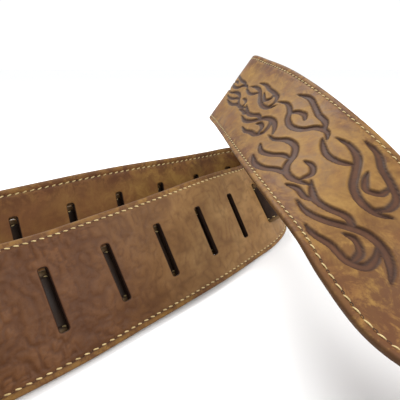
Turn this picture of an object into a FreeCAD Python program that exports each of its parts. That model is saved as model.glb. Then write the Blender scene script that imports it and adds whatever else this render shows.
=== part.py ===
"""Leather guitar strap, laid in a loop. From its slotted end it stands on its edge, turns back beside
itself, runs round in a wide loop and crosses over its own turn. Units are millimetres.

Every piece follows the strap's route. A place on it is given by three numbers: s, the distance
along the strap from its slotted end, v, the distance across it (towards its upper edge), and d,
the distance off its middle surface (towards its front face)."""
import FreeCAD, Part
import bisect
import math
import os
from FreeCAD import Vector

# Strap
WIDTH = 65.0
LEATHER = 3.2
LINING = 1.2
LAYER_GAP = 0.05
THICK = LEATHER + LAYER_GAP + LINING
SECTION_STEP = 7.0
END_STEP = 2.0                # closer sections at the two shaped ends
TURN_START = 225.0            # where the strap turns back over itself
TURN_END = 300.0
SLOT_CORNER = 12.0            # corner radius of the slotted end
TAPER_LENGTH = 75.0           # the front end narrows over this length
TIP_RADIUS = 20.0

# Slots for the tail strap
SLOT_LENGTH = 34.0
SLOT_WIDTH = 4.5
SLOT_END_RADIUS = 1.3         # corner radius at the slots' ends
SLOT_PITCH = 33.4
FIRST_SLOT = 23.4
SLOT_COUNT = 15
THREADED_SLOT = 8             # the slot that the tail strap passes through

# Seams
SEAM_INSET = 3.4
THREAD_WIDTH = 1.0
THREAD_HEIGHT = 0.5
LINING_INSET = 4.4

# Button holes
BUTTON_RADIUS = 4.5
FRONT_HOLE_FROM_END = 22.0
TAIL_HOLE_FROM_END = 18.0

# Tail strap
TAIL_WIDTH = 32.0
TAIL_THICK = 2.4
TAIL_CLEAR = 0.6              # gap between the tail and the face that it lies along
TAIL_FREE_LENGTH = 75.0       # beyond the slotted end
TAIL_CUT = 186.0              # where the tail's sliding run meets its threaded run
TAIL_CUT_GAP = 0.4
TAIL_BOW_START = 205.0        # from here the tail bows away round the outside of the turn
TAIL_BOW_RADIUS = 11.0        # of its bend down to the threaded slot
TAIL_BEND = 2.0               # radius of its bend on to the front face
TAIL_STEEPNESS = math.radians(75)
TAIL_REST = 2.6               # it is straight this far to each side of the slot

# The route's middle line and the direction across the strap, at hand-set stations.
LEAN_REAR = (-0.165, 0.175, 0.970)
ROUTE = [
    # the slotted end and the rear run, leaning back a little
    ((-148.5, 161.1, 32.0), LEAN_REAR),
    ((-104.7, 197.3, 32.0), LEAN_REAR),
    ((-53.0, 240.2, 32.0), LEAN_REAR),
    ((-0.6, 283.5, 32.0), LEAN_REAR),
    ((12.0, 293.9, 32.2), LEAN_REAR),
    # the turn, whose lower edge flares outward
    ((25.9, 305.4, 32.6), (-0.13, 0.13, 0.98)),
    ((38.1, 310.6, 32.6), (-0.17, 0.0, 0.985)),
    ((50.4, 306.3, 31.5), (-0.36, -0.06, 0.93)),
    ((54.1, 293.3, 30.0), (-0.52, 0.08, 0.85)),
    ((50.2, 281.3, 29.4), (-0.50, 0.22, 0.84)),
    # the near run, leaning back under the view
    ((45.7, 272.0, 29.3), (-0.42, 0.32, 0.865)),
    ((25.9, 246.2, 29.4), (-0.39, 0.33, 0.87)),
    ((3.9, 220.9, 29.4), (-0.40, 0.355, 0.87)),
    ((-19.4, 197.4, 29.0), (-0.41, 0.37, 0.855)),
    ((-43.2, 174.9, 28.3), (-0.41, 0.41, 0.83)),
    ((-66.0, 153.3, 27.5), (-0.41, 0.44, 0.80)),
    ((-90.0, 130.8, 28.5), (-0.38, 0.43, 0.82)),
    # the wide loop, first upright, then turning over to lie face up
    ((-111.0, 109.0, 31.1), (-0.26, 0.28, 0.92)),
    ((-126.0, 84.0, 32.7), (-0.10, 0.08, 0.99)),
    ((-129.0, 54.0, 32.5), (0.0, 0.0, 1.0)),
    ((-117.0, 24.0, 32.5), (0.0, 0.0, 1.0)),
    ((-90.0, 1.0, 32.5), (0.0, 0.0, 1.0)),
    ((-52.0, -9.0, 32.5), (0.0, 0.02, 1.0)),
    ((-12.0, -10.0, 32.6), (-0.03, 0.22, 0.975)),
    ((28.0, -4.0, 33.0), (-0.15, 0.42, 0.895)),
    ((64.0, 12.0, 34.0), (-0.42, 0.48, 0.77)),
    ((91.0, 40.0, 36.5), (-0.74, 0.32, 0.59)),
    ((101.0, 72.0, 41.0), (-0.93, 0.0, 0.37)),
    ((89.5, 99.0, 47.0), (-0.92, -0.35, 0.10)),
    # the decorated stretch, face up, climbing over the turn
    ((80.3, 116.0, 53.5), (-0.88, -0.46, -0.11)),
    ((74.6, 131.0, 61.8), (-0.92, -0.33, -0.15)),
    ((70.4, 146.5, 70.2), (-0.935, -0.275, -0.22)),
    ((62.4, 174.0, 80.8), (-0.905, -0.20, -0.36)),
    ((54.1, 206.9, 90.0), (-0.857, -0.12, -0.50)),
    ((46.5, 240.7, 97.7), (-0.79, -0.052, -0.617)),
    ((39.8, 275.3, 103.5), (-0.708, -0.027, -0.712)),
    ((34.1, 310.4, 107.0), (-0.647, -0.017, -0.765)),
    # over the crest and down to the front end, which stands on its other edge
    ((28.8, 345.9, 109.5), (-0.585, -0.006, -0.804)),
    ((31.6, 362.3, 106.9), (-0.56, -0.01, -0.83)),
    ((42.5, 371.0, 98.0), (-0.50, -0.01, -0.866)),
    ((59.0, 375.0, 78.5), (-0.36, -0.02, -0.93)),
    ((75.0, 378.5, 58.0), (-0.20, -0.02, -0.98)),
    ((94.0, 382.5, 38.5), (-0.08, 0.0, -1.0)),
    ((117.0, 387.0, 28.6), (0.0, 0.0, -1.0)),
    ((141.0, 391.5, 23.0), (0.0, 0.0, -1.0)),
    ((168.0, 396.6, 20.2), (0.0, 0.0, -1.0)),
]
ORIGIN = Vector(-20.86, 188.9, -0.27)     # the middle of the layout, on the table
STEPS_PER_SPAN = 16


def slopes(values, knots):
    """Tangents of a smooth curve through the values, straight where they are in line."""
    steps = [knots[i + 1] - knots[i] for i in range(len(knots) - 1)]
    rates = [(values[i + 1] - values[i]) / steps[i] for i in range(len(steps))]
    middle = [
        (rates[i - 1] * steps[i] + rates[i] * steps[i - 1]) / (steps[i - 1] + steps[i])
        for i in range(1, len(steps))
    ]
    return [rates[0]] + middle + [rates[-1]]


def hermite(ends, tangents, span, u):
    """Point and tangent between two ends, at u from 0 to 1."""
    a, b = ends
    ta, tb = tangents
    point = (
        a * (2 * u**3 - 3 * u**2 + 1)
        + ta * span * (u**3 - 2 * u**2 + u)
        + b * (3 * u**2 - 2 * u**3)
        + tb * span * (u**3 - u**2)
    )
    tangent = (
        a * ((6 * u**2 - 6 * u) / span)
        + ta * (3 * u**2 - 4 * u + 1)
        + b * ((6 * u - 6 * u**2) / span)
        + tb * (3 * u**2 - 2 * u)
    )
    return point, tangent


def walk_route():
    """The route as closely spaced frames: distance, middle point, across, front normal."""
    points = [Vector(*place) - ORIGIN for place, lean in ROUTE]
    across = [Vector(*lean).normalize() for place, lean in ROUTE]
    knots = [0.0]
    for first, second in zip(points, points[1:]):
        knots.append(knots[-1] + (second - first).Length)
    point_slopes = slopes(points, knots)
    across_slopes = slopes(across, knots)
    frames = []
    distance = 0.0
    for i in range(len(points) - 1):
        span = knots[i + 1] - knots[i]
        last = 1 if i == len(points) - 2 else 0
        for step in range(STEPS_PER_SPAN + last):
            u = step / STEPS_PER_SPAN
            middle, along = hermite(points[i : i + 2], point_slopes[i : i + 2], span, u)
            side = hermite(across[i : i + 2], across_slopes[i : i + 2], span, u)[0]
            along.normalize()
            side = side - along * side.dot(along)
            side.normalize()
            if frames:
                distance += (middle - frames[-1][1]).Length
            frames.append((distance, middle, side, along.cross(side)))
    return frames


FRAMES = walk_route()
LENGTH = FRAMES[-1][0]
STARTS = [frame[0] for frame in FRAMES]


def frame_at(s):
    """Middle point, across and front normal at the distance s along the strap."""
    low = min(max(bisect.bisect_right(STARTS, s) - 1, 0), len(FRAMES) - 2)
    first, second = FRAMES[low], FRAMES[low + 1]
    u = (s - first[0]) / (second[0] - first[0])
    middle = first[1] * (1 - u) + second[1] * u
    side = (first[2] * (1 - u) + second[2] * u).normalize()
    front = (first[3] * (1 - u) + second[3] * u).normalize()
    return middle, side, front


def place(s, v, d):
    middle, side, front = frame_at(s)
    return middle + side * v + front * d


def half_width(s, inset=0.0):
    """Half of the strap's outline at s, drawn in by inset."""
    half = WIDTH / 2
    from_tip = LENGTH - s
    if s < SLOT_CORNER:
        rest = (SLOT_CORNER - inset) ** 2 - (SLOT_CORNER - s) ** 2
        return half - SLOT_CORNER + math.sqrt(max(rest, 0.0))
    if from_tip < TIP_RADIUS:
        rest = (TIP_RADIUS - inset) ** 2 - (TIP_RADIUS - from_tip) ** 2
        return math.sqrt(max(rest, 0.0))
    if from_tip < TAPER_LENGTH:
        u = (TAPER_LENGTH - from_tip) / (TAPER_LENGTH - TIP_RADIUS)
        ease = u * u * (3 - 2 * u)
        return half + (TIP_RADIUS - half) * ease - inset
    return half - inset


def section_places():
    """Distances of the sections all the pieces share, closer at the shaped ends and the turn."""
    values = [0.0]
    while values[-1] < LENGTH:
        near_end = values[-1] < SLOT_CORNER or values[-1] > LENGTH - TIP_RADIUS - 1
        turning = TURN_START < values[-1] < TURN_END
        values.append(values[-1] + (END_STEP if near_end or turning else SECTION_STEP))
    return values


SECTIONS = section_places()


def distances(start, end):
    """The shared sections between two distances, and the two themselves."""
    return [start] + [s for s in SECTIONS if start + 0.5 < s < end - 0.5] + [end]


def strip(sections, d_low, d_high):
    """Solid strip through rectangular sections, each (s, low v, high v), between two d."""
    outlines = []
    for s, v_low, v_high in sections:
        corners = [
            place(s, v_low, d_low),
            place(s, v_high, d_low),
            place(s, v_high, d_high),
            place(s, v_low, d_high),
        ]
        outlines.append(Part.makePolygon(corners + corners[:1]))
    return Part.makeLoft(outlines, True, True)


def slot_position(index):
    return FIRST_SLOT + index * SLOT_PITCH


def slot_cutter(s):
    """Bar with rounded corners that cuts one slot straight through the strap."""
    middle, side, front = frame_at(s)
    along = side.cross(front)
    base = middle - front * THICK
    half, reach, radius = SLOT_WIDTH / 2, SLOT_LENGTH / 2, SLOT_END_RADIUS
    slant = radius * (1 - math.sqrt(0.5))

    def point(a, v):
        return base + along * a + side * v

    corners = [(1, -1), (1, 1), (-1, 1), (-1, -1)]
    arcs = []
    for a, v in corners:
        beside = point(a * half, v * (reach - radius))
        between = point(a * (half - slant), v * (reach - slant))
        above = point(a * (half - radius), v * reach)
        ends = (beside, above) if a == v else (above, beside)
        arcs.append((ends[0], between, ends[1]))
    outline = []
    for index, (start, between, end) in enumerate(arcs):
        outline.append(Part.Arc(start, between, end).toShape())
        outline.append(Part.LineSegment(end, arcs[(index + 1) % 4][0]).toShape())
    return Part.Face(Part.Wire(outline)).extrude(front * (2 * THICK))


def hole_cutter(s, d):
    """Bar that cuts a button hole through the strip at s, d."""
    front = frame_at(s)[2]
    return Part.makeCylinder(BUTTON_RADIUS, 4 * THICK, place(s, 0, d) - front * (2 * THICK), front)


LEATHER_LOW = -THICK / 2 + LINING + LAYER_GAP
LEATHER_HIGH = THICK / 2
LINING_LOW = -THICK / 2
LINING_HIGH = -THICK / 2 + LINING
FRONT_HOLE = LENGTH - FRONT_HOLE_FROM_END


def main_layer(inset, d_low, d_high):
    """One layer of the strap, with its slots and its button hole."""
    sections = []
    for s in distances(inset + 0.4, LENGTH - inset - 0.4):
        half = half_width(s, inset)
        sections.append((s, -half, half))
    cutters = [slot_cutter(slot_position(index)) for index in range(SLOT_COUNT)]
    cutters.append(hole_cutter(FRONT_HOLE, 0))
    return strip(sections, d_low, d_high).cut(cutters)


def edge_seam(side, d_low):
    """One row of thread along the upper (side 1) or lower (side -1) edge."""
    sections = []
    for s in distances(SEAM_INSET + 2.5, LENGTH - SEAM_INSET - 1.5):
        centre = side * half_width(s, SEAM_INSET)
        sections.append((s, centre - THREAD_WIDTH / 2, centre + THREAD_WIDTH / 2))
    return strip(sections, d_low, d_low + THREAD_HEIGHT)


def end_seam(d_low):
    """The row of thread across the slotted end, between the two edge rows."""
    half = half_width(SEAM_INSET, SEAM_INSET) - THREAD_WIDTH
    ends = SEAM_INSET - THREAD_WIDTH / 2, SEAM_INSET + THREAD_WIDTH / 2
    return strip([(s, -half, half) for s in ends], d_low, d_low + THREAD_HEIGHT)


TAIL_OFFSET = THICK / 2 + TAIL_CLEAR + TAIL_THICK / 2
THREAD_AT = slot_position(THREADED_SLOT)
TAIL_TIP = slot_position(SLOT_COUNT - 1) - 9.0


def tail_path():
    """The threaded run's middle line as (s, d) points, from the sliding run to its tip."""
    slope, turned = math.tan(TAIL_STEEPNESS), 1 - math.cos(TAIL_STEEPNESS)
    angles = [TAIL_STEEPNESS * i / 5 for i in range(1, 6)]
    bow = TAIL_REST + TAIL_BOW_RADIUS * turned
    bow_end = THREAD_AT - TAIL_REST / slope - TAIL_BOW_RADIUS * math.sin(TAIL_STEEPNESS)
    points = [(s, -TAIL_OFFSET) for s in distances(TAIL_CUT + TAIL_CUT_GAP, TAIL_BOW_START)]
    for s in distances(TAIL_BOW_START, bow_end)[1:]:
        ease = (1 - math.cos(math.pi * (s - TAIL_BOW_START) / (bow_end - TAIL_BOW_START))) / 2
        points.append((s, -TAIL_OFFSET - (bow - TAIL_OFFSET) * ease))
    for angle in angles:
        rise = TAIL_BOW_RADIUS * (1 - math.cos(angle))
        points.append((bow_end + TAIL_BOW_RADIUS * math.sin(angle), -bow + rise))
    straight_end = TAIL_OFFSET - TAIL_BEND * turned
    bend_end = THREAD_AT + straight_end / slope + TAIL_BEND * math.sin(TAIL_STEEPNESS)
    for angle in reversed(angles):
        rise = TAIL_BEND * (1 - math.cos(angle))
        points.append((bend_end - TAIL_BEND * math.sin(angle), TAIL_OFFSET - rise))
    return points + [(s, TAIL_OFFSET) for s in distances(bend_end, TAIL_TIP)]


def tail_threaded_run():
    """Round the outside of the turn, through the threaded slot, then along the front face."""
    path = tail_path()
    middles = [place(s, 0, d) for s, d in path]
    outlines = []
    for i, (s, d) in enumerate(path):
        along = (middles[min(i + 1, len(path) - 1)] - middles[max(i - 1, 0)]).normalize()
        side = frame_at(s)[1]
        side = (side - along * side.dot(along)).normalize()
        half_side, half_thick = side * (TAIL_WIDTH / 2), along.cross(side) * (TAIL_THICK / 2)
        corners = [
            middles[i] - half_side - half_thick,
            middles[i] + half_side - half_thick,
            middles[i] + half_side + half_thick,
            middles[i] - half_side + half_thick,
        ]
        outlines.append(Part.makePolygon(corners + corners[:1]))
    return Part.makeLoft(outlines, True, True)


def tail_sliding_run():
    """Straight behind the rear run's slots, and free beyond the slotted end, with a round end."""
    middle, side, front = frame_at(TAIL_CUT)
    along = front.cross(side)
    length = TAIL_CUT + TAIL_FREE_LENGTH
    radius = TAIL_WIDTH / 2
    base = middle - front * (TAIL_OFFSET + TAIL_THICK / 2)

    def point(a, v):
        return base + along * a + side * v

    straight = length - radius
    outline = [
        Part.LineSegment(point(0, -radius), point(straight, -radius)).toShape(),
        Part.Arc(point(straight, -radius), point(length, 0), point(straight, radius)).toShape(),
        Part.LineSegment(point(straight, radius), point(0, radius)).toShape(),
        Part.LineSegment(point(0, radius), point(0, -radius)).toShape(),
    ]
    body = Part.Face(Part.Wire(outline)).extrude(front * TAIL_THICK)
    hole_start = point(length - TAIL_HOLE_FROM_END, 0) - front
    return body.cut(Part.makeCylinder(BUTTON_RADIUS, TAIL_THICK + 2, hole_start, front))


def build():
    front_thread = LEATHER_HIGH + LAYER_GAP
    back_thread = LEATHER_LOW - LAYER_GAP - THREAD_HEIGHT
    pieces = {
        "front_leather": main_layer(0.0, LEATHER_LOW, LEATHER_HIGH),
        "back_lining": main_layer(LINING_INSET, LINING_LOW, LINING_HIGH),
        "front_seam_upper": edge_seam(1, front_thread),
        "front_seam_lower": edge_seam(-1, front_thread),
        "back_seam_upper": edge_seam(1, back_thread),
        "back_seam_lower": edge_seam(-1, back_thread),
        "front_seam_slotted_end": end_seam(front_thread),
        "back_seam_slotted_end": end_seam(back_thread),
        "tail_strap_threaded_run": tail_threaded_run(),
        "tail_strap_sliding_run": tail_sliding_run(),
    }
    os.makedirs("parts", exist_ok=True)
    for name, shape in pieces.items():
        shape.Solids[0].exportStep("parts/%s.step" % name)


build()
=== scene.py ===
"""A leather guitar strap, stitched and tooled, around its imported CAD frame. Lengths are in metres,
except the strap's own layout, which is in millimetres as in the CAD source."""
import math

import bpy
import numpy as np
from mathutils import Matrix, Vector


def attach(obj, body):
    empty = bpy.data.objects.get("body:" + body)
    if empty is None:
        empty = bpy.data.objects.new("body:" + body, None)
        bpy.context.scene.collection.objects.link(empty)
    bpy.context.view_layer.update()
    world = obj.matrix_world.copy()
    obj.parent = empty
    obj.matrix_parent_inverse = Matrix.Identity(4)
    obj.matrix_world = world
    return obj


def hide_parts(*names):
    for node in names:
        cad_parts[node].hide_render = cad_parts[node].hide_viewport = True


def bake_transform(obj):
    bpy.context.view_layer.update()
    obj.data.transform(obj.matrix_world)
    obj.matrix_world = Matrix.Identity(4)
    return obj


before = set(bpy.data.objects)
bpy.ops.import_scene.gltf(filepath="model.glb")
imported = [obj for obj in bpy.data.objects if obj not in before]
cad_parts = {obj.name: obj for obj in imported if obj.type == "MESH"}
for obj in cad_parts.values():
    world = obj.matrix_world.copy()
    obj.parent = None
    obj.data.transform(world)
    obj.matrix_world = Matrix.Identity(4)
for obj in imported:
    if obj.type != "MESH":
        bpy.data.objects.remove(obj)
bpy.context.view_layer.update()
MM = 0.001

# ---------------------------------------------------------------- the strap's layout, in mm
WIDTH = 65.0
HALF = WIDTH / 2
LEATHER = 3.2
LINING = 1.2
LAYER_GAP = 0.05
THICK = LEATHER + LAYER_GAP + LINING
LEATHER_LOW = -THICK / 2 + LINING + LAYER_GAP
LEATHER_HIGH = THICK / 2
SLOT_CORNER = 12.0
TAPER_LENGTH = 75.0
TIP_RADIUS = 20.0
SLOT_LENGTH = 34.0
SLOT_WIDTH = 4.5
SLOT_END_RADIUS = 1.3
SLOT_PITCH = 33.4
FIRST_SLOT = 23.4
SLOT_COUNT = 15
THREADED_SLOT = 8
SEAM_INSET = 3.4
STITCH_PITCH = 4.2
STITCH_SLANT = 0.24
STITCH_SINK = 0.30           # how far below the surface a stitch's middle line lies at its holes
HOLE_MARGIN = 0.9             # the ring round a button hole that keeps its round shape
BUTTON_RADIUS = 4.5
FRONT_HOLE_FROM_END = 22.0
TAIL_HOLE_FROM_END = 18.0
TAIL_WIDTH = 32.0
TAIL_THICK = 2.4
TAIL_CLEAR = 0.6
TAIL_FREE_LENGTH = 75.0
TAIL_CUT = 186.0
TAIL_BOW_START = 205.0
TAIL_BOW_RADIUS = 11.0
TAIL_BEND = 2.0
TAIL_STEEPNESS = math.radians(75)
TAIL_REST = 2.6
ORIGIN = np.array([-20.86, 188.9, -0.27])
STEPS_PER_SPAN = 16
LEAN_REAR = (-0.165, 0.175, 0.970)
ROUTE = [
    # the slotted end and the rear run, leaning back a little
    ((-148.5, 161.1, 32.0), LEAN_REAR),
    ((-104.7, 197.3, 32.0), LEAN_REAR),
    ((-53.0, 240.2, 32.0), LEAN_REAR),
    ((-0.6, 283.5, 32.0), LEAN_REAR),
    ((12.0, 293.9, 32.2), LEAN_REAR),
    # the turn, whose lower edge flares outward
    ((25.9, 305.4, 32.6), (-0.13, 0.13, 0.98)),
    ((38.1, 310.6, 32.6), (-0.17, 0.0, 0.985)),
    ((50.4, 306.3, 31.5), (-0.36, -0.06, 0.93)),
    ((54.1, 293.3, 30.0), (-0.52, 0.08, 0.85)),
    ((50.2, 281.3, 29.4), (-0.50, 0.22, 0.84)),
    # the near run, leaning back
    ((45.7, 272.0, 29.3), (-0.42, 0.32, 0.865)),
    ((25.9, 246.2, 29.4), (-0.39, 0.33, 0.87)),
    ((3.9, 220.9, 29.4), (-0.40, 0.355, 0.87)),
    ((-19.4, 197.4, 29.0), (-0.41, 0.37, 0.855)),
    ((-43.2, 174.9, 28.3), (-0.41, 0.41, 0.83)),
    ((-66.0, 153.3, 27.5), (-0.41, 0.44, 0.80)),
    ((-90.0, 130.8, 28.5), (-0.38, 0.43, 0.82)),
    # the wide loop, first upright, then turning over to lie face up
    ((-111.0, 109.0, 31.1), (-0.26, 0.28, 0.92)),
    ((-126.0, 84.0, 32.7), (-0.10, 0.08, 0.99)),
    ((-129.0, 54.0, 32.5), (0.0, 0.0, 1.0)),
    ((-117.0, 24.0, 32.5), (0.0, 0.0, 1.0)),
    ((-90.0, 1.0, 32.5), (0.0, 0.0, 1.0)),
    ((-52.0, -9.0, 32.5), (0.0, 0.02, 1.0)),
    ((-12.0, -10.0, 32.6), (-0.03, 0.22, 0.975)),
    ((28.0, -4.0, 33.0), (-0.15, 0.42, 0.895)),
    ((64.0, 12.0, 34.0), (-0.42, 0.48, 0.77)),
    ((91.0, 40.0, 36.5), (-0.74, 0.32, 0.59)),
    ((101.0, 72.0, 41.0), (-0.93, 0.0, 0.37)),
    ((89.5, 99.0, 47.0), (-0.92, -0.35, 0.10)),
    # the decorated stretch, face up, climbing over the turn
    ((80.3, 116.0, 53.5), (-0.88, -0.46, -0.11)),
    ((74.6, 131.0, 61.8), (-0.92, -0.33, -0.15)),
    ((70.4, 146.5, 70.2), (-0.935, -0.275, -0.22)),
    ((62.4, 174.0, 80.8), (-0.905, -0.20, -0.36)),
    ((54.1, 206.9, 90.0), (-0.857, -0.12, -0.50)),
    ((46.5, 240.7, 97.7), (-0.79, -0.052, -0.617)),
    ((39.8, 275.3, 103.5), (-0.708, -0.027, -0.712)),
    ((34.1, 310.4, 107.0), (-0.647, -0.017, -0.765)),
    # over the crest and down to the front end, which stands on its other edge
    ((28.8, 345.9, 109.5), (-0.585, -0.006, -0.804)),
    ((31.6, 362.3, 106.9), (-0.56, -0.01, -0.83)),
    ((42.5, 371.0, 98.0), (-0.50, -0.01, -0.866)),
    ((59.0, 375.0, 78.5), (-0.36, -0.02, -0.93)),
    ((75.0, 378.5, 58.0), (-0.20, -0.02, -0.98)),
    ((94.0, 382.5, 38.5), (-0.08, 0.0, -1.0)),
    ((117.0, 387.0, 28.6), (0.0, 0.0, -1.0)),
    ((141.0, 391.5, 23.0), (0.0, 0.0, -1.0)),
    ((168.0, 396.6, 20.2), (0.0, 0.0, -1.0)),
]


def unit(vectors):
    return vectors / np.linalg.norm(vectors, axis=-1, keepdims=True)


def slopes(values, knots):
    """Tangents of a smooth curve through the values, straight where they are in line."""
    steps = np.diff(knots)[:, None]
    rates = np.diff(values, axis=0) / steps
    middle = (rates[:-1] * steps[1:] + rates[1:] * steps[:-1]) / (steps[:-1] + steps[1:])
    return np.vstack([rates[:1], middle, rates[-1:]])


def hermite(values, tangents, knots, i, u):
    """Points and tangents of span i at the fractions u."""
    span = knots[i + 1] - knots[i]
    u = u[:, None]
    point = (
        values[i] * (2 * u**3 - 3 * u**2 + 1)
        + tangents[i] * span * (u**3 - 2 * u**2 + u)
        + values[i + 1] * (3 * u**2 - 2 * u**3)
        + tangents[i + 1] * span * (u**3 - u**2)
    )
    tangent = (
        values[i] * (6 * u**2 - 6 * u) / span
        + tangents[i] * (3 * u**2 - 4 * u + 1)
        + values[i + 1] * (6 * u - 6 * u**2) / span
        + tangents[i + 1] * (3 * u**2 - 2 * u)
    )
    return point, tangent


def walk_route():
    """The route as close frames: distance, middle point, across and front normal."""
    points = np.array([place for place, lean in ROUTE]) - ORIGIN
    across = unit(np.array([lean for place, lean in ROUTE]))
    knots = np.concatenate([[0.0], np.cumsum(np.linalg.norm(np.diff(points, axis=0), axis=1))])
    point_slopes = slopes(points, knots)
    across_slopes = slopes(across, knots)
    middles, alongs, sides = [], [], []
    for i in range(len(points) - 1):
        u = np.arange(STEPS_PER_SPAN + (i == len(points) - 2)) / STEPS_PER_SPAN
        middle, along = hermite(points, point_slopes, knots, i, u)
        side, _ = hermite(across, across_slopes, knots, i, u)
        middles.append(middle)
        alongs.append(along)
        sides.append(side)
    middle = np.vstack(middles)
    along = unit(np.vstack(alongs))
    side = np.vstack(sides)
    side = unit(side - along * (side * along).sum(1, keepdims=True))
    distance = np.concatenate([[0.0], np.cumsum(np.linalg.norm(np.diff(middle, axis=0), axis=1))])
    return distance, middle, side, np.cross(along, side)


DISTANCE, MIDDLE, SIDE, FRONT = walk_route()
LENGTH = DISTANCE[-1]
FRONT_HOLE = LENGTH - FRONT_HOLE_FROM_END


def along_route(table, s):
    return np.stack([np.interp(s, DISTANCE, table[:, k]) for k in range(3)], axis=-1)


# Soft waves of the upper edge: middle, reach along, rise at the edge, and v where each begins.
WAVES = ((340.0, 48.0, 2.4, -HALF), (120.0, 65.0, 2.0, 14.0))


def place(s, v, d):
    """Points in metres at s along the strap, v across it and d off its middle surface."""
    s, v, d = np.broadcast_arrays(s, v, d)
    side = unit(along_route(SIDE, s))
    front = unit(along_route(FRONT, s))
    rise = v.astype(float)
    for middle, reach, height, begin in WAVES:
        share = np.clip((v - begin) / (HALF - begin), 0, 1)
        rise = rise + height * share * np.exp(-(((s - middle) / reach) ** 2))
    return (along_route(MIDDLE, s) + side * rise[..., None] + front * d[..., None]) * MM


def half_width(s, inset=0.0):
    """Half of the strap's outline at s, drawn in by inset."""
    s = np.asarray(s, float)
    from_tip = LENGTH - s
    corner = np.sqrt(np.maximum((SLOT_CORNER - inset) ** 2 - (SLOT_CORNER - s) ** 2, 0))
    tip = np.sqrt(np.maximum((TIP_RADIUS - inset) ** 2 - (TIP_RADIUS - from_tip) ** 2, 0))
    u = np.clip((TAPER_LENGTH - from_tip) / (TAPER_LENGTH - TIP_RADIUS), 0, 1)
    half = HALF + (TIP_RADIUS - HALF) * u * u * (3 - 2 * u) - inset
    half = np.where(s < SLOT_CORNER, HALF - SLOT_CORNER + corner, half)
    return np.where(from_tip < TIP_RADIUS, tip, half)


def slot_position(index):
    return FIRST_SLOT + index * SLOT_PITCH


# ---------------------------------------------------------------- repeatable noise for geometry
def soft_noise(x, y, seed, cell):
    """Smooth value noise from -1 to 1 over a plane, with features about cell wide."""
    table = np.random.default_rng(seed).uniform(-1, 1, (256, 256))
    gx, gy = x / cell, y / cell
    ix, iy = np.floor(gx).astype(int), np.floor(gy).astype(int)
    fx, fy = gx - ix, gy - iy
    fx, fy = fx * fx * (3 - 2 * fx), fy * fy * (3 - 2 * fy)

    def at(a, b):
        return table[a % 256, b % 256]

    low = at(ix, iy) * (1 - fx) + at(ix + 1, iy) * fx
    high = at(ix, iy + 1) * (1 - fx) + at(ix + 1, iy + 1) * fx
    return low * (1 - fy) + high * fy


def smoothstep(low, high, x):
    u = np.clip((x - low) / (high - low), 0, 1)
    return u * u * (3 - 2 * u)


# ---------------------------------------------------------------- the pressed-in scroll pattern
PATTERN_START = 938.0
PATTERN_END = 1262.0
PRESS_DEPTH = 0.9
PRESS_WALL = 0.7
# Each stroke: its greatest width, where along it that is, and the (u, v) points of its spine.
UPPER_UNITS = [
    [
        (4.4, 0.40, [(-3, 10), (3, 5), (11, 2.5), (19, 5), (25, 11), (31, 17), (39, 21), (50, 21)]),
        (4.0, 0.40, [(22, 8), (30, 8), (37, 12), (45, 14), (52, 12), (58, 9)]),
        (3.8, 0.45, [(14, 3), (8, 8), (6, 14), (10, 19), (17, 21), (25, 25), (33, 25.5)]),
        (3.2, 0.45, [(9, 18), (12, 12), (18, 11), (22, 14)]),
        (3.2, 0.40, [(44, 14), (49, 17), (56, 17), (63, 20)]),
    ],
    [
        (4.4, 0.40, [(-3, 10), (4, 14), (12, 16), (20, 13), (25, 7), (32, 3), (41, 4), (49, 9), (57, 10)]),
        (4.0, 0.40, [(12, 16), (20, 18), (28, 23), (37, 25.5), (47, 24)]),
        (3.6, 0.45, [(23, 9), (30, 11), (37, 16), (46, 19), (54, 17)]),
        (3.2, 0.45, [(5, 13), (5, 7), (10, 4), (17, 5)]),
    ],
]
LOWER_UNITS = [
    [
        (4.4, 0.40, [(-3, -10), (1, -4.5), (9, -2), (18, -4), (26, -10), (34, -16), (43, -18), (54, -16)]),
        (4.0, 0.45, [(4, -3), (2, -10), (5, -16), (13, -19), (22, -21), (32, -25), (43, -25)]),
        (3.4, 0.45, [(12, -18), (10, -12), (14, -8), (20, -11), (24, -15)]),
        (3.6, 0.40, [(30, -13), (36, -8), (44, -6), (52, -8), (58, -11)]),
    ],
    [
        (4.4, 0.40, [(-3, -10), (4, -14), (11, -12), (16, -6), (24, -3), (33, -5), (40, -11), (48, -14),
                     (58, -11)]),
        (4.0, 0.40, [(5, -13.5), (12, -18), (20, -19), (28, -22), (38, -25.5), (49, -24)]),
        (3.4, 0.45, [(38, -9), (33, -13), (27, -14), (22, -11)]),
    ],
]
UNIT_PITCH = 57.0
NARROW_START, NARROW_END = 1010, 1170
NARROWED_BY = 0.58
LOWER_OFFSET = 26.0


def narrowing(s):
    """How much of its full width the pattern keeps at s; it draws together towards its end."""
    return 1 - NARROWED_BY * smoothstep(NARROW_START, NARROW_END, np.asarray(s, float))


def spine(points, count=48):
    """Evenly sampled smooth curve through a stroke's points."""
    points = np.array(points, float)
    knots = np.concatenate([[0.0], np.cumsum(np.linalg.norm(np.diff(points, axis=0), axis=1))])
    tangents = slopes(points, knots)
    parts = [hermite(points, tangents, knots, i, np.linspace(0, 1, 12))[0] for i in range(len(points) - 1)]
    dense = np.vstack(parts)
    lengths = np.concatenate([[0.0], np.cumsum(np.linalg.norm(np.diff(dense, axis=0), axis=1))])
    even = np.linspace(0, lengths[-1], count)
    return np.stack([np.interp(even, lengths, dense[:, k]) for k in range(2)], axis=1)


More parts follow.
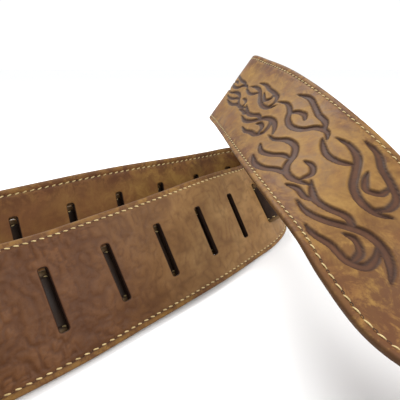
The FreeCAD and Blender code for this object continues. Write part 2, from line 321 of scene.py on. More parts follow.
def pattern_strokes():
    """Every stroke of the pattern: its spine on the flat strap and its half widths."""
    count = int((PATTERN_END - PATTERN_START) / UNIT_PITCH)
    for repeat in range(count):
        for units, offset, beat in ((UPPER_UNITS, 0.0, 1.9), (LOWER_UNITS, LOWER_OFFSET, 2.7)):
            for width, widest, points in units[repeat % 2]:
                line = spine(points)
                u = line[:, 0] + PATTERN_START + UNIT_PITCH * repeat + offset
                v = line[:, 1] * (1 + 0.05 * math.sin(beat * repeat)) + 0.8 * math.sin(beat * repeat + 1)
                keep = narrowing(u)
                t = np.linspace(0, 1, len(line))
                rising = np.minimum(t / (0.6 * widest), 1)
                falling = np.minimum((1 - t) / (0.6 * (1 - widest)), 1)
                ends = np.minimum(rising, falling)
                half = (0.43 * width * np.sin(ends * math.pi / 2) ** 0.7 + 0.2) * (0.35 + 0.65 * keep)
                yield np.stack([u, v * keep], axis=1), half


def pattern_distance(s, v):
    """Distance in mm from the nearest stroke's outline, negative inside a stroke."""
    nearest = np.full(s.shape, 9.0)
    for line, half in pattern_strokes():
        low, high = line.min(0) - 8, line.max(0) + 8
        near = (s > low[0]) & (s < high[0]) & (v > low[1]) & (v < high[1])
        if near.any():
            away = np.hypot(s[near][:, None] - line[:, 0], v[near][:, None] - line[:, 1]) - half
            nearest[near] = np.minimum(nearest[near], away.min(1))
    return nearest


# ---------------------------------------------------------------- mesh building
def new_object(name, vertices, faces, body):
    mesh = bpy.data.meshes.new(name)
    mesh.from_pydata(vertices.tolist() if hasattr(vertices, "tolist") else vertices, [], faces)
    mesh.update()
    mesh.polygons.foreach_set("use_smooth", [True] * len(mesh.polygons))
    piece = bpy.data.objects.new(name, mesh)
    bpy.context.scene.collection.objects.link(piece)
    if body:
        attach(piece, body)
    return piece


def add_values(piece, name, values):
    layer = piece.data.attributes.new(name, "FLOAT", "POINT")
    layer.data.foreach_set("value", np.ascontiguousarray(values, dtype=np.float32).ravel())


def add_layout(piece, s, v, d):
    """Stores where each vertex lies on the flat strap, in metres, for the materials."""
    layer = piece.data.attributes.new("layout", "FLOAT_VECTOR", "POINT")
    flat = np.stack([s, v, d], axis=1) * MM
    layer.data.foreach_set("vector", np.ascontiguousarray(flat, dtype=np.float32).ravel())


def clear_lines(lines, centre, reach, inserts):
    kept = [x for x in lines if abs(x - centre) > reach]
    return kept + [centre + x for x in inserts]


def spaced(start, end, step):
    count = max(1, int(round((end - start) / step)))
    return list(np.linspace(start, end, count + 1))


SLOT_CORE = SLOT_WIDTH / 2 - SLOT_END_RADIUS          # the corner arcs' centres, across the slot
SLOT_REACH = SLOT_LENGTH / 2 - SLOT_END_RADIUS        # and along it
RIM = 0.5                                             # how far the worn rims reach
SLOT_S = (-3.4, -2.75, -2.25, -1.75, -0.95, 0.0, 0.95, 1.75, 2.25, 2.75, 3.4)
SLOT_V = (14.9, 15.7, 16.45, 17.0, 17.5, 18.3)


def layer_grid(s_lines, v_lines):
    """A grid over the flat strap with its slots left out: s, q across, faces and slot rims."""
    for index in range(SLOT_COUNT):
        s_lines = clear_lines(s_lines, slot_position(index), 4.0, SLOT_S)
    s_lines = np.array(sorted(s_lines))
    for sign in (-1, 1):
        v_lines = [x for x in v_lines if not 14.3 < sign * x < 18.8]
        v_lines += [sign * x for x in SLOT_V]
    v_lines = np.array(sorted(v_lines))
    s, q = np.meshgrid(s_lines, v_lines, indexing="ij")
    rows, columns = s.shape
    s_mid = (s_lines[:-1] + s_lines[1:]) / 2
    v_mid = (v_lines[:-1] + v_lines[1:]) / 2
    keep = np.ones((rows - 1, columns - 1), bool)
    rim = np.full(s.shape, 9.0)
    for index in range(SLOT_COUNT):
        centre = slot_position(index)
        in_width = np.abs(s_mid - centre) < SLOT_WIDTH / 2
        in_length = np.abs(v_mid) < SLOT_LENGTH / 2
        keep &= ~(in_width[:, None] & in_length[None, :])
        a, b = np.abs(s - centre) - SLOT_CORE, np.abs(q) - SLOT_REACH
        at_corner = (a > 0.01) & (b > 0.01) & (a < 2.1)
        for radius in (SLOT_END_RADIUS, SLOT_END_RADIUS + RIM):
            on_ring = at_corner & (np.abs(np.maximum(a, b) - radius) < 0.02)
            stretch = radius / np.maximum(np.hypot(a, b), 1e-6)
            s = np.where(on_ring, centre + np.sign(s - centre) * (SLOT_CORE + a * stretch), s)
            q = np.where(on_ring, np.sign(q) * (SLOT_REACH + b * stretch), q)
        a, b = np.abs(s - centre) - SLOT_CORE, np.abs(q) - SLOT_REACH
        away = np.hypot(np.maximum(a, 0), np.maximum(b, 0)) - SLOT_END_RADIUS
        rim = np.minimum(rim, away)
    return s, q, grid_quads(s.shape)[keep], rim


def cut_round_hole(s, q, quads, centre, radius):
    """Leaves out the faces inside a round hole and draws its border onto the circle."""
    middle_s = s.ravel()[quads].mean(1)
    middle_q = q.ravel()[quads].mean(1)
    inside = np.hypot(middle_s - centre, middle_q) < radius
    gone, kept = quads[inside], quads[~inside]
    border = np.intersect1d(gone.ravel(), kept.ravel())
    flat_s, flat_q = s.ravel().copy(), q.ravel().copy()
    length = np.hypot(flat_s[border] - centre, flat_q[border])
    flat_s[border] = centre + (flat_s[border] - centre) * radius / length
    flat_q[border] = flat_q[border] * radius / length
    return flat_s.reshape(s.shape), flat_q.reshape(q.shape), kept


def closed_faces(quads, count):
    """Faces of a front surface, its copy at the back and the walls along every border."""
    edges = np.concatenate([quads[:, [k, (k + 1) % 4]] for k in range(4)])
    keys = np.sort(edges, axis=1)
    codes = keys[:, 0].astype(np.int64) * count + keys[:, 1]
    _, first, times = np.unique(codes, return_index=True, return_counts=True)
    walls = [[b, a, a + count, b + count] for a, b in edges[first[times == 1]].tolist()]
    return quads.tolist() + (quads[:, ::-1] + count).tolist() + walls


def grid_quads(shape):
    """The faces of a grid of vertices."""
    number = np.arange(shape[0] * shape[1]).reshape(shape)
    return np.stack([number[:-1, :-1], number[1:, :-1], number[1:, 1:], number[:-1, 1:]], axis=-1)


def compact(quads, size):
    """The vertices that the faces use, and the faces numbered for those alone."""
    used = np.unique(quads)
    renumber = np.full(size, -1)
    renumber[used] = np.arange(len(used))
    return used, renumber[quads]


def two_sided(s, v, d_front, d_back, quads):
    """Joins a front and a back surface of the same grid: vertices, faces, layout, vertices used."""
    used, quads = compact(quads, s.size)
    s, v = s.ravel()[used], v.ravel()[used]
    d_front, d_back = d_front.ravel()[used], d_back.ravel()[used]
    vertices = np.vstack([place(s, v, d_front), place(s, v, d_back)])
    layout = (np.tile(s, 2), np.tile(v, 2), np.concatenate([d_front, d_back]))
    return vertices, closed_faces(quads, len(used)), layout, used


def rounding(distance, radius):
    """How far a rounded edge falls away from the surface, at a distance in from the edge."""
    u = np.clip(1 - distance / radius, 0, 1)
    return radius * (1 - np.sqrt(np.maximum(1 - u * u, 0)))


EDGE_V = (HALF, HALF - 0.12, HALF - 0.45, HALF - 1.0, HALF - 1.7, HALF - 2.3, HALF - 2.8)
SEAM_V = tuple(HALF - SEAM_INSET + x for x in (-1.3, -0.8, -0.4, 0.0, 0.4, 0.8))


def edge_lines(middle_step):
    """Lines across the strap, close together at its edges and seams."""
    outer = [sign * x for sign in (-1, 1) for x in EDGE_V + SEAM_V]
    inner = HALF - SEAM_INSET - 2.0
    return outer + spaced(-inner, inner, middle_step)


def seam_groove(s, v):
    """How deep a point is in the seam's groove: 1 on the stitch line, fading out beside it."""
    away = np.minimum(np.abs(np.abs(v) - (half_width(s) - SEAM_INSET)), 5)
    return np.exp(-((away / 0.85) ** 2))


def build_face_leather():
    lines = spaced(0.0, 880.0, 1.7) + spaced(880.7, 1215.0, 0.62) + spaced(1216.2, LENGTH - 0.15, 1.4)
    s, q, quads, rim = layer_grid(lines, edge_lines(0.72))
    s, q, quads = cut_round_hole(s, q, quads, FRONT_HOLE, BUTTON_RADIUS)
    scale = half_width(s) / HALF
    v = np.where(np.hypot(s - FRONT_HOLE, q) < BUTTON_RADIUS + HOLE_MARGIN, q, q * scale)
    edge = (HALF - np.abs(q)) * scale
    end = np.minimum(s, LENGTH - s)
    outline = np.minimum(edge, end + 0.3)
    away = pattern_distance(s.ravel(), v.ravel()).reshape(s.shape)
    pressed = smoothstep(PRESS_WALL / 2, -PRESS_WALL / 2, away)
    swell = 0.16 * np.exp(-((np.clip(away, 0, 9) / 1.1) ** 2)) * (1 - pressed)
    wave = 0.22 * soft_noise(s, v, 3, 17) + 0.09 * soft_noise(s, v, 4, 6)
    d_front = LEATHER_HIGH - rounding(outline, 1.25) - 0.7 * rounding(rim, RIM)
    d_front = d_front - 0.30 * seam_groove(s, v) - PRESS_DEPTH * pressed + swell
    d_front = d_front + wave * smoothstep(0, 3, outline) * smoothstep(0, 2, rim) * 0.55 - 0.1
    d_back = LEATHER_LOW + rounding(outline, 0.8) + 0.3 * rounding(rim, RIM)
    vertices, faces, layout, used = two_sided(s, v, d_front, d_back, quads)
    piece = new_object("strap_face_leather", vertices, faces, "strap")
    add_layout(piece, *layout)
    plain_back = np.zeros(len(used))
    add_values(piece, "pressed", np.concatenate([pressed.ravel()[used], plain_back]))
    # Painted shade on the pressed strokes' walls, a band just inside each outline.
    wall = np.exp(-(((away + 0.35) / 0.55) ** 2))
    add_values(piece, "press_wall_shade", np.concatenate([wall.ravel()[used], plain_back]))
    add_values(piece, "edge", np.tile(outline.ravel()[used], 2) * MM)
    add_values(piece, "slot_rim", np.tile(rim.ravel()[used], 2) * MM)
    near_pattern = smoothstep(7, 1, away)
    add_values(piece, "near_pattern", np.concatenate([near_pattern.ravel()[used], plain_back]))
    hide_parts("front_leather")
    return piece


LINING_EDGE = 2.7             # the lining stops just outside the seam


def lining_wrinkles(s, v):
    """Fine creases as relief, gathered towards the near run's left and its edges; the lining's material
    paints shade into them.
    """
    warp_s = s + 5 * soft_noise(s, v, 11, 19)
    warp_v = v + 4 * soft_noise(s, v, 12, 15)
    gathered = smoothstep(385, 490, s) * (0.55 + 0.45 * smoothstep(8, 26, np.abs(v)))
    creased = 1 - np.abs(soft_noise(warp_s * 1.2, warp_v, 13, 4.6))
    fine = 1 - np.abs(soft_noise(warp_s, warp_v * 1.3, 14, 2.6))
    return (0.25 + gathered) * (0.16 - 0.62 * creased**4 - 0.34 * fine**4)


def build_lining():
    lines = spaced(LINING_EDGE, 330.0, 1.7) + spaced(331.0, 560.0, 0.9)
    lines += spaced(561.7, LENGTH - LINING_EDGE - 0.1, 1.7)
    s, q, quads, rim = layer_grid(lines, edge_lines(0.9))
    s, q, quads = cut_round_hole(s, q, quads, FRONT_HOLE, BUTTON_RADIUS)
    near_hole = np.hypot(s - FRONT_HOLE, q) < BUTTON_RADIUS + HOLE_MARGIN
    v = np.where(near_hole, q, q * half_width(s, LINING_EDGE) / HALF)
    edge = (HALF - np.abs(q)) * half_width(s, LINING_EDGE) / HALF
    end = np.minimum(s - LINING_EDGE, LENGTH - LINING_EDGE - s)
    outline = np.minimum(edge, end + 0.3)
    relief = lining_wrinkles(s, v) * smoothstep(0, 3.5, outline) * smoothstep(0, 3, rim)
    d_back = -THICK / 2 + rounding(outline, 0.8) + 0.8 * rounding(rim, RIM) - relief
    d_back = d_back + 0.35 * seam_groove(s, v)
    d_back = np.minimum(d_back, LEATHER_LOW - 0.12)
    d_front = np.full(s.shape, LEATHER_LOW - 0.04)
    vertices, faces, layout, used = two_sided(s, v, d_front, d_back, quads)
    piece = new_object("strap_lining", vertices, faces, "strap")
    add_layout(piece, *layout)
    add_values(piece, "slot_rim", np.tile(rim.ravel()[used], 2) * MM)
    relief = relief.ravel()[used]
    add_values(piece, "relief", np.tile(relief, 2))
    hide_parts("back_lining")
    return piece


# ---------------------------------------------------------------- seams
def seam_path(side, inset=SEAM_INSET):
    """Distances and places across of one edge row, from the slotted end to the tip."""
    s = np.linspace(inset + 0.2, LENGTH - inset - 0.2, 6000)
    v = side * half_width(s, inset)
    lengths = np.concatenate([[0.0], np.cumsum(np.hypot(np.diff(s), np.diff(v)))])
    return s, v, lengths


def end_path(inset=SEAM_INSET):
    v = np.linspace(-1, 1, 400) * (float(half_width(inset + 0.2, inset)))
    s = np.full(v.shape, inset + 0.2)
    return s, v, v - v[0]


def stitch_shape(rings=7, sides=8):
    """One stitch: a rounded thread that arches up between its two holes. Unit length."""
    length, width, height = 2.9, 0.74, 0.50
    vertices, faces = [], []
    for i in range(rings):
        t = i / (rings - 1)
        x = (t - 0.5) * length
        thin = max(math.sin(math.pi * min(max(t, 0.02), 0.98)) ** 0.35, 0.25)
        lift = 0.42 * math.sin(math.pi * t) - 0.28
        for k in range(sides):
            angle = 2 * math.pi * k / sides
            across = width / 2 * thin * math.cos(angle)
            up = lift + height / 2 * thin * math.sin(angle)
            vertices.append((x, across, up))
    for i in range(rings - 1):
        for k in range(sides):
            a, b = i * sides + k, i * sides + (k + 1) % sides
            faces.append((a, b, b + sides, a + sides))
    faces.append(tuple(range(sides - 1, -1, -1)))
    faces.append(tuple(range((rings - 1) * sides, rings * sides)))
    return np.array(vertices), faces


def hole_shape(sides=10):
    """One needle hole: a small dish that opens towards +z, painted dark as shade by its material."""
    vertices = [(0.0, 0.0, -0.30)]
    for radius, depth in ((0.26, -0.22), (0.42, -0.02), (0.50, 0.07)):
        for k in range(sides):
            angle = 2 * math.pi * k / sides
            vertices.append((radius * 1.35 * math.cos(angle), radius * math.sin(angle), depth))
    faces = [(0, 1 + k, 1 + (k + 1) % sides) for k in range(sides)]
    for ring in range(2):
        start = 1 + ring * sides
        for k in range(sides):
            a, b = start + k, start + (k + 1) % sides
            faces.append((a, a + sides, b + sides, b))
    return np.array(vertices), faces


STITCH = stitch_shape()
HOLE = hole_shape()


def row_of(shape, path, offset, surface, face, slant, jitter_seed, put=place):
    """Repeats a small shape along a seam, laid on the face (1) or on the back (-1)."""
    s_path, v_path, lengths = path
    count = int(round((lengths[-1] - 1.0) / STITCH_PITCH))
    pitch = (lengths[-1] - 1.0) / count
    rng = np.random.default_rng(jitter_seed)
    base, faces = shape
    all_vertices, all_faces = [], []
    for i in range(count):
        at = 0.5 + (i + 0.5 + offset) * pitch
        if at > lengths[-1] - 0.3:
            continue
        s0, v0 = np.interp(at, lengths, s_path), np.interp(at, lengths, v_path)
        s1, v1 = np.interp(at + 0.4, lengths, s_path), np.interp(at + 0.4, lengths, v_path)
        turn = math.atan2(v1 - v0, s1 - s0) + slant + rng.normal(0, 0.035)
        stretch = 1 + rng.normal(0, 0.04)
        x = base[:, 0] * stretch
        s = s0 + x * math.cos(turn) - base[:, 1] * math.sin(turn)
        v = v0 + x * math.sin(turn) + base[:, 1] * math.cos(turn)
        d = face * (surface + base[:, 2])
        start = sum(len(part) for part in all_vertices)
        all_vertices.append(put(s, v, d))
        order = 1 if face > 0 else -1
        all_faces += [tuple(start + n for n in one[::order]) for one in faces]
    return np.vstack(all_vertices), all_faces


FACE_SURFACE = LEATHER_HIGH - 0.28
BACK_SURFACE = THICK / 2 - STITCH_SINK
SEAMS = [
    # node, path, surface, face, slant, seed
    ("front_seam_upper", seam_path(1), FACE_SURFACE, 1, STITCH_SLANT, 21),
    ("front_seam_lower", seam_path(-1), FACE_SURFACE, 1, STITCH_SLANT, 22),
    ("back_seam_upper", seam_path(1), BACK_SURFACE, -1, STITCH_SLANT, 23),
    ("back_seam_lower", seam_path(-1), BACK_SURFACE, -1, STITCH_SLANT, 24),
    ("front_seam_slotted_end", end_path(), FACE_SURFACE, 1, STITCH_SLANT, 25),
    ("back_seam_slotted_end", end_path(), BACK_SURFACE, -1, STITCH_SLANT, 26),
]


def build_seams(thread, hole):
    for node, path, surface, face, slant, seed in SEAMS:
        vertices, faces = row_of(STITCH, path, 0.0, surface, face, slant, seed)
        stitches = new_object(node + "_stitches", vertices, faces, "strap")
        stitches.data.materials.append(thread)
        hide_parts(node)
        vertices, faces = row_of(HOLE, path, 0.5, surface, face, 0.0, seed)
        holes = new_object(node + "_needle_holes", vertices, faces, "strap")
        holes.data.materials.append(hole)


# ---------------------------------------------------------------- tail strap
TAIL_OFFSET = THICK / 2 + TAIL_CLEAR + TAIL_THICK / 2
THREAD_AT = slot_position(THREADED_SLOT)
TAIL_TIP = slot_position(SLOT_COUNT - 1) - 9.0
TAIL_SEAM_V = 12.6            # the tail's two rows of stitches
TAIL_STRETCH = 90.0           # a length along the tail's sliding run, read in bend_with_tail but not used
TAIL_SAG = 0.7                # past the cut it rests towards the slots' lower ends


def tail_path():
    """The tail's middle line from the cut to its tip, as (s, d) points."""
    slope, turned = math.tan(TAIL_STEEPNESS), 1 - math.cos(TAIL_STEEPNESS)
    angles = np.linspace(0, TAIL_STEEPNESS, 13)[1:]
    bow = TAIL_REST + TAIL_BOW_RADIUS * turned
    bow_end = THREAD_AT - TAIL_REST / slope - TAIL_BOW_RADIUS * math.sin(TAIL_STEEPNESS)
    points = [(s, -TAIL_OFFSET) for s in np.linspace(TAIL_CUT, TAIL_BOW_START, 10)]
    for u in np.linspace(0, 1, 40)[1:]:
        ease = (1 - math.cos(math.pi * u)) / 2
        s = TAIL_BOW_START + (bow_end - TAIL_BOW_START) * u
        points.append((s, -TAIL_OFFSET - (bow - TAIL_OFFSET) * ease))
    for angle in angles:
        rise = TAIL_BOW_RADIUS * (1 - math.cos(angle))
        points.append((bow_end + TAIL_BOW_RADIUS * math.sin(angle), -bow + rise))
    straight_end = TAIL_OFFSET - TAIL_BEND * turned
    bend_end = THREAD_AT + straight_end / slope + TAIL_BEND * math.sin(TAIL_STEEPNESS)
    for angle in angles[::-1]:
        rise = TAIL_BEND * (1 - math.cos(angle))
        points.append((bend_end - TAIL_BEND * math.sin(angle), TAIL_OFFSET - rise))
    points += [(s, TAIL_OFFSET) for s in np.linspace(bend_end, TAIL_TIP, 160)]
    return np.array(points)


def tail_frames():
    """Distance along the tail, its middle points, across and normal directions, in mm."""
    s, d = tail_path().T
    middle = place(s, np.zeros(s.shape), d) / MM
    travel = np.concatenate([[0.0], np.cumsum(np.linalg.norm(np.diff(middle, axis=0), axis=1))])
    along = unit(np.gradient(middle, axis=0))
    side = unit(along_route(SIDE, s))
    side = unit(side - along * (side * along).sum(1, keepdims=True))
    return travel, middle, side, np.cross(along, side)


TAIL_TRAVEL, TAIL_MIDDLE, TAIL_SIDE, TAIL_NORMAL = tail_frames()


def tail_place(t, v, lift):
    """Points on the tail, t mm past the cut: straight before it, along its path after it."""
    def read(table):
        return np.stack([np.interp(t, TAIL_TRAVEL, table[:, k]) for k in range(3)], axis=-1)

    middle = read(TAIL_MIDDLE)
    v = v - TAIL_SAG * smoothstep(0, 60, t)
    along = np.cross(TAIL_SIDE[0], TAIL_NORMAL[0])
    middle = middle + along * np.minimum(t, 0)[:, None]
    return (middle + unit(read(TAIL_SIDE)) * v[:, None] + unit(read(TAIL_NORMAL)) * lift[:, None]) * MM


def bend_with_tail(piece):
    """Bakes the piece's placement into its vertices; the tail's start and a point on its sliding run are
    worked out but not used.
    """
    begin = tail_place(np.zeros(1), np.zeros(1), np.zeros(1))[0]
    finish = tail_place(np.array([-TAIL_STRETCH]), np.zeros(1), np.zeros(1))[0]
    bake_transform(piece)


def build_tail_seams(thread, hole):
    start, end = -TAIL_CUT - TAIL_FREE_LENGTH + TAIL_WIDTH / 2, TAIL_TRAVEL[-1] - 3
    t = np.linspace(start, end, 3000)
    for side, row in ((1, "upper"), (-1, "lower")):
        for face, surface in ((1, "front"), (-1, "back")):
            path = t, np.full(t.shape, side * TAIL_SEAM_V), t - start
            for shape, offset, kind, slot, material, slant in (
                (STITCH, 0.0, "stitches", "thread", thread, STITCH_SLANT),
                (HOLE, 0.5, "needle_holes", "tail_leather", hole, 0.0),
            ):
                level = TAIL_THICK / 2 - STITCH_SINK
                vertices, faces = row_of(shape, path, offset, level, face, slant, 41, tail_place)
                piece = new_object("tail_%s_%s_%s" % (surface, row, kind), vertices, faces, None)
                piece.data.materials.append(material)
                bend_with_tail(piece)


def build_tail():
    start, end = -TAIL_CUT - TAIL_FREE_LENGTH, TAIL_TRAVEL[-1]
    hole_at = start + TAIL_HOLE_FROM_END
    half = TAIL_WIDTH / 2
    t_lines = spaced(start + 0.1, start + 42, 0.8) + spaced(start + 43.5, 20.0, 1.6)
    t_lines += spaced(21.0, 60.0, 0.5) + spaced(61.5, end, 1.6)
    v_lines = [sign * (half - x) for sign in (-1, 1) for x in (0, 0.1, 0.4, 0.9, 1.6, 2.4)]
    v_lines += [sign * (TAIL_SEAM_V + x) for sign in (-1, 1) for x in (-0.9, -0.5, -0.2, 0.0, 0.2, 0.5)]
    v_lines = np.array(sorted(v_lines + spaced(-11.4, 11.4, 0.8)))
    t, q = np.meshgrid(np.array(t_lines), v_lines, indexing="ij")
    quads = grid_quads(t.shape).reshape(-1, 4)
    t, q, quads = cut_round_hole(t, q, quads, hole_at, BUTTON_RADIUS)
    from_end = t - start
    round_end = np.sqrt(np.maximum(half**2 - np.maximum(half - from_end, 0) ** 2, 0))
    v = q * round_end / half
    near_hole = np.hypot(t - hole_at, q) < BUTTON_RADIUS + HOLE_MARGIN
    v = np.where(near_hole, q, v)
    edge = (half - np.abs(q)) * round_end / half
    outline = np.minimum(edge, np.minimum(from_end + 0.2, end - t + 0.2))
    crease = np.exp(-(((np.abs(q) - TAIL_SEAM_V) / 0.4) ** 2))
    fall = rounding(outline, 0.95) + 0.38 * crease
    top = TAIL_THICK / 2 - fall + 0.05 * soft_noise(t, v, 31, 9)
    low = -TAIL_THICK / 2 + fall
    used, quads = compact(quads, t.size)
    t, v, top, low = (a.ravel()[used] for a in (t, v, top, low))
    vertices = np.vstack([tail_place(t, v, top), tail_place(t, v, low)])
    faces = closed_faces(quads, len(used))
    piece = new_object("tail_strap_leather", vertices, faces, None)
    add_layout(piece, np.tile(t, 2), np.tile(v, 2), np.concatenate([top, low]))
    add_values(piece, "edge", np.tile(outline.ravel()[used], 2) * MM)
    bend_with_tail(piece)
    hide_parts("tail_strap_threaded_run", "tail_strap_sliding_run")
    return piece


# ---------------------------------------------------------------- materials
class Nodes:
    """Short names for the shader nodes that the materials below share."""

    def __init__(self, name):
        self.material = bpy.data.materials.new(name)
        self.material.use_nodes = True
        self.tree = self.material.node_tree
        self.shader = self.tree.nodes["Principled BSDF"]

    def add(self, kind, **settings):
        node = self.tree.nodes.new(kind)
        for key, value in settings.items():
            setattr(node, key, value)
        return node

    def link(self, source, target):
        self.tree.links.new(source, target)

    def attribute(self, name):
        node = self.add("ShaderNodeAttribute", attribute_name=name)
        return node.outputs["Vector"] if name == "layout" else node.outputs["Fac"]

    def distance_along(self, layout):
        """How far along the strap a point lies, in metres."""
        node = self.add("ShaderNodeSeparateXYZ")
        self.link(layout, node.inputs["Vector"])
        return node.outputs["X"]

    def noise(self, vector, scale, detail=4.0, rough=0.55, distortion=0.0):
        node = self.add("ShaderNodeTexNoise")
        node.inputs["Scale"].default_value = scale
        node.inputs["Detail"].default_value = detail
        node.inputs["Roughness"].default_value = rough
        node.inputs["Distortion"].default_value = distortion
        self.link(vector, node.inputs["Vector"])
        return node.outputs["Fac"]

    def voronoi(self, vector, scale, feature="DISTANCE_TO_EDGE"):
        node = self.add("ShaderNodeTexVoronoi", feature=feature)
        node.inputs["Scale"].default_value = scale
        self.link(vector, node.inputs["Vector"])
        return node.outputs["Distance"]

    def ramp(self, value, *stops):
        node = self.add("ShaderNodeValToRGB")
        elements = node.color_ramp.elements
        while len(elements) < len(stops):
            elements.new(0.5)
        for element, (position, color) in zip(elements, stops):
            element.position = position
            element.color = (*color, 1)
        self.link(value, node.inputs["Fac"])
        return node.outputs["Color"]

    def span(self, value, low, high, out_low=0.0, out_high=1.0):
        node = self.add("ShaderNodeMapRange", interpolation_type="SMOOTHSTEP")
        ranges = {"From Min": low, "From Max": high, "To Min": out_low, "To Max": out_high}
        for key, number in ranges.items():
            node.inputs[key].default_value = number
        self.link(value, node.inputs["Value"])
        return node.outputs["Result"]

    def math(self, operation, a, b=None):
        node = self.add("ShaderNodeMath", operation=operation)
        for socket, value in zip(node.inputs, (a, b)):
            if value is None:
                continue
            if isinstance(value, (int, float)):
                socket.default_value = value
            else:
                self.link(value, socket)
        return node.outputs["Value"]

    def mix(self, factor, a, b, blend="MIX"):
        node = self.add("ShaderNodeMix", data_type="RGBA", blend_type=blend)
        if isinstance(factor, (int, float)):
            node.inputs["Factor"].default_value = factor
        else:
            self.link(factor, node.inputs["Factor"])
        for socket, value in ((node.inputs["A"], a), (node.inputs["B"], b)):
            if isinstance(value, tuple):
                socket.default_value = (*value, 1)
            else:
                self.link(value, socket)
        return node.outputs["Result"]

    def bump(self, height, distance, strength=1.0, below=None):
        node = self.add("ShaderNodeBump")
        node.inputs["Strength"].default_value = strength
        node.inputs["Distance"].default_value = distance
        self.link(height, node.inputs["Height"])
        if below is not None:
            self.link(below, node.inputs["Normal"])
        return node.outputs["Normal"]

    def set(self, **values):
        for key, value in values.items():
            self.shader.inputs[key.replace("_", " ")].default_value = value


def face_leather_material():
    """Pull-up leather: golden tan, rubbed through to dark brown in clouds, dark in the pattern, with
    painted shade on the pattern's walls and on the rear run towards the slotted end.
    """
    n = Nodes("face_leather")
    flat = n.attribute("layout")
    clouds = n.noise(flat, 38, 5, 0.6, 0.6)
    patches = n.noise(flat, 95, 6, 0.68, 0.9)
    specks = n.noise(flat, 520, 4, 0.65)
    golden = n.ramp(
        patches,
        (0.30, (0.160, 0.078, 0.019)),
        (0.50, (0.220, 0.114, 0.028)),
        (0.72, (0.290, 0.164, 0.044)),
    )
    brown = n.ramp(
        patches,
        (0.28, (0.090, 0.036, 0.013)),
        (0.52, (0.165, 0.072, 0.021)),
        (0.75, (0.260, 0.128, 0.035)),
    )
    rubbed = n.span(clouds, 0.40, 0.62)
    near = n.attribute("near_pattern")
    rubbed = n.math("MAXIMUM", rubbed, n.math("MULTIPLY", near, 0.85))
    color = n.mix(rubbed, brown, golden)
    color = n.mix(n.span(specks, 0.45, 0.72, 0.0, 0.22), color, (0.10, 0.042, 0.014))
    s_along = n.distance_along(flat)
    # Painted shade: the rear run is darkened towards the slotted end, standing in for the weaker light on
    # its left part.
    rear = n.span(s_along, 0.180, 0.080)
    color = n.mix(n.math("MULTIPLY", rear, 0.55), color, (0.130, 0.050, 0.020))
    edge = n.attribute("edge")
    rubbed_edge = n.span(edge, 0.0030, 0.0012)
    color = n.mix(n.math("MULTIPLY", rubbed_edge, 0.45), color, golden)
    margin = n.noise(flat, 110, 7, 0.75, 0.5)
    scuffed = n.math("MULTIPLY", n.span(edge, 0.0170, 0.0050), n.span(margin, 0.44, 0.58, 0.0, 0.75))
    before = n.math("MULTIPLY", n.span(s_along, 0.800, 0.840), n.span(s_along, 0.990, 0.925))
    plain_end = n.math("MULTIPLY", before, n.span(margin, 0.38, 0.52, 0.0, 0.85))
    scuffed = n.math("MAXIMUM", scuffed, plain_end)
    color = n.mix(scuffed, color, (0.085, 0.030, 0.011))
    color = n.mix(n.span(edge, 0.0008, 0.0001, 0.0, 0.7), color, (0.085, 0.040, 0.016))
    dyed = n.ramp(patches, (0.3, (0.054, 0.021, 0.010)), (0.7, (0.098, 0.041, 0.019)))
    color = n.mix(n.attribute("pressed"), color, dyed)
    # Painted shade on the pressed strokes' walls.
    color = n.mix(n.math("MULTIPLY", n.attribute("press_wall_shade"), 0.75), color, (0.018, 0.007, 0.005))
    cut = n.span(n.attribute("slot_rim"), 0.0006, 0.00005)
    color = n.mix(cut, color, (0.022, 0.010, 0.006))
    n.link(color, n.shader.inputs["Base Color"])
    rough = n.span(patches, 0.3, 0.7, 0.48, 0.62)
    n.link(rough, n.shader.inputs["Roughness"])
    grain = n.voronoi(flat, 1500)
    pores = n.noise(flat, 2600, 3, 0.6)
    normal = n.bump(grain, 0.00006, 0.45)
    normal = n.bump(pores, 0.00006, 0.5, normal)
    normal = n.bump(patches, 0.00025, 0.35, normal)
    n.link(normal, n.shader.inputs["Normal"])
    n.set(Specular_IOR_Level=0.16)
    return n.material


def lining_material():
    """Soft garment leather: reddish brown, with painted shade in the creases and towards the near run's
    left end.
    """
    n = Nodes("lining_leather")
    flat = n.attribute("layout")
    clouds = n.noise(flat, 55, 4, 0.55, 0.3)
    dark = n.ramp(
        clouds,
        (0.30, (0.070, 0.027, 0.010)),
        (0.52, (0.102, 0.041, 0.015)),
        (0.74, (0.145, 0.062, 0.024)),
    )
    light = n.ramp(
        clouds,
        (0.30, (0.200, 0.100, 0.034)),
        (0.52, (0.275, 0.150, 0.054)),
        (0.74, (0.350, 0.205, 0.078)),
    )
    s_along = n.distance_along(flat)
    # Painted light and shade: the lining is darkened past 450 mm, towards the near run's left end, and
    # lightened towards the turn, standing in for the light falling more strongly on the right.
    color = n.mix(n.span(s_along, 0.450, 0.320), dark, light)
    # Painted shade in the creases: the lower the relief, the darker the colour.
    relief = n.span(n.attribute("relief"), -0.25, 0.15)
    color = n.mix(n.math("MULTIPLY", n.math("SUBTRACT", 1.0, relief), 0.55), color, (0.065, 0.025, 0.011))
    cut = n.span(n.attribute("slot_rim"), 0.0007, 0.00005)
    color = n.mix(cut, color, (0.020, 0.009, 0.006))
    n.link(color, n.shader.inputs["Base Color"])
    wide = n.noise(flat, 210, 4, 0.6, 0.8)
    pebble = n.voronoi(flat, 620)
    fine = n.noise(flat, 1900, 3, 0.6)
    normal = n.bump(wide, 0.0006, 0.35)
    normal = n.bump(pebble, 0.00014, 0.4, normal)
    normal = n.bump(fine, 0.00008, 0.4, normal)
    n.link(normal, n.shader.inputs["Normal"])
    n.link(n.span(wide, 0.3, 0.7, 0.36, 0.50), n.shader.inputs["Roughness"])
    n.set(Specular_IOR_Level=0.11)
    return n.material


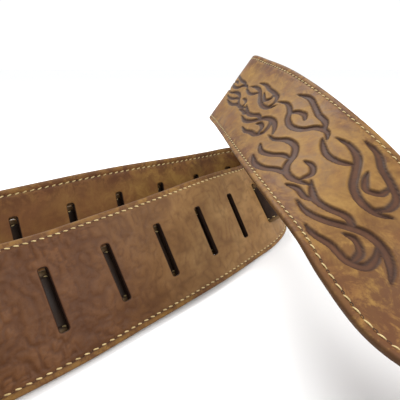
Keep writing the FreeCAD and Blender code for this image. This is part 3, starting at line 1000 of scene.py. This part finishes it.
def tail_material():
    """Strap leather painted near black, as shade for the deep shade inside the slots and under the
    decorated stretch, with golden tan margins.
    """
    n = Nodes("tail_leather")
    flat = n.attribute("layout")
    clouds = n.noise(flat, 70, 5, 0.6, 0.4)
    # Painted shade: the near-black tone stands in for the shade inside the slots and under the decorated
    # stretch.
    color = n.ramp(clouds, (0.3, (0.016, 0.008, 0.005)), (0.7, (0.038, 0.020, 0.011)))
    margin = n.span(n.attribute("edge"), 0.0034, 0.0018, 0.0, 0.45)
    color = n.mix(margin, color, (0.260, 0.150, 0.055))
    n.link(color, n.shader.inputs["Base Color"])
    grain = n.voronoi(flat, 1400)
    fine = n.noise(flat, 2400, 3, 0.6)
    normal = n.bump(grain, 0.00008, 0.4)
    normal = n.bump(fine, 0.00006, 0.4, normal)
    n.link(normal, n.shader.inputs["Normal"])
    n.link(n.span(clouds, 0.3, 0.7, 0.45, 0.60), n.shader.inputs["Roughness"])
    n.set(Specular_IOR_Level=0.2)
    return n.material


def thread_material():
    """Waxed cream thread with a fine twist."""
    n = Nodes("thread")
    where = n.add("ShaderNodeTexCoord").outputs["Object"]
    mottle = n.noise(where, 420, 3, 0.6)
    color = n.ramp(mottle, (0.3, (0.36, 0.25, 0.09)), (0.7, (0.60, 0.46, 0.21)))
    n.link(color, n.shader.inputs["Base Color"])
    twist = n.add("ShaderNodeTexWave", bands_direction="DIAGONAL")
    twist.inputs["Scale"].default_value = 1500
    twist.inputs["Distortion"].default_value = 1.5
    n.link(where, twist.inputs["Vector"])
    n.link(n.bump(twist.outputs["Fac"], 0.00008, 0.6), n.shader.inputs["Normal"])
    n.set(Roughness=0.6, Sheen_Weight=0.15, Sheen_Roughness=0.5)
    return n.material


def hole_material():
    n = Nodes("needle_hole")
    where = n.add("ShaderNodeTexCoord").outputs["Object"]
    # Painted shade: the near-black colour stands in for the shade inside each needle hole.
    color = n.ramp(n.noise(where, 900), (0.3, (0.010, 0.005, 0.003)), (0.7, (0.035, 0.018, 0.010)))
    n.link(color, n.shader.inputs["Base Color"])
    n.set(Roughness=0.85)
    return n.material


# ---------------------------------------------------------------- stage
def build_stage():
    size = 6.0
    vertices = [(-size, -size, 0), (size, -size, 0), (size, size, 0), (-size, size, 0)]
    mesh = bpy.data.meshes.new("floor")
    mesh.from_pydata(vertices, [], [(0, 1, 2, 3)])
    floor = bpy.data.objects.new("floor", mesh)
    bpy.context.scene.collection.objects.link(floor)
    n = Nodes("floor")
    n.set(Base_Color=(0.95, 0.955, 0.96, 1), Roughness=0.9, Specular_IOR_Level=0.1)
    mesh.materials.append(n.material)


def area_light(name, at, target, size, power, color):
    data = bpy.data.lights.new(name, "AREA")
    data.shape = "DISK"
    data.size = size
    data.energy = power
    data.color = color
    light = bpy.data.objects.new(name, data)
    light.location = at
    light.rotation_euler = (Vector(target) - Vector(at)).to_track_quat("-Z", "Y").to_euler()
    bpy.context.scene.collection.objects.link(light)


def build_lights():
    world = bpy.data.worlds.new("studio")
    world.use_nodes = True
    background = world.node_tree.nodes["Background"]
    background.inputs["Color"].default_value = (0.99, 0.995, 1.0, 1)
    background.inputs["Strength"].default_value = 1.05
    bpy.context.scene.world = world
    area_light("soft_key", (-0.25, 0.65, 1.2), (0, 0.05, 0), 0.6, 14, (1.0, 0.99, 0.97))
    area_light("soft_fill", (0.75, -0.25, 0.8), (0.05, 0.05, 0.03), 0.8, 7, (1.0, 0.99, 0.97))
    bpy.context.scene.view_settings.view_transform = "Standard"


CAMERA_HEIGHT = 0.133
CAMERA_PITCH = math.radians(20.2)
LENS = 34.2


def build_camera():
    data = bpy.data.cameras.new("camera")
    data.lens = LENS
    data.sensor_width = 36.0
    data.clip_start = 0.005
    camera = bpy.data.objects.new("camera", data)
    camera.location = (-ORIGIN[0] * MM, -ORIGIN[1] * MM, CAMERA_HEIGHT)
    camera.rotation_euler = (math.pi / 2 - CAMERA_PITCH, 0, 0)
    bpy.context.scene.collection.objects.link(camera)
    bpy.context.scene.camera = camera


def main():
    face = build_face_leather()
    face.data.materials.append(face_leather_material())
    lining = build_lining()
    lining.data.materials.append(lining_material())
    thread, hole = thread_material(), hole_material()
    build_seams(thread, hole)
    tail = build_tail()
    tail.data.materials.append(tail_material())
    build_tail_seams(thread, hole)
    build_stage()
    build_lights()
    build_camera()


main()
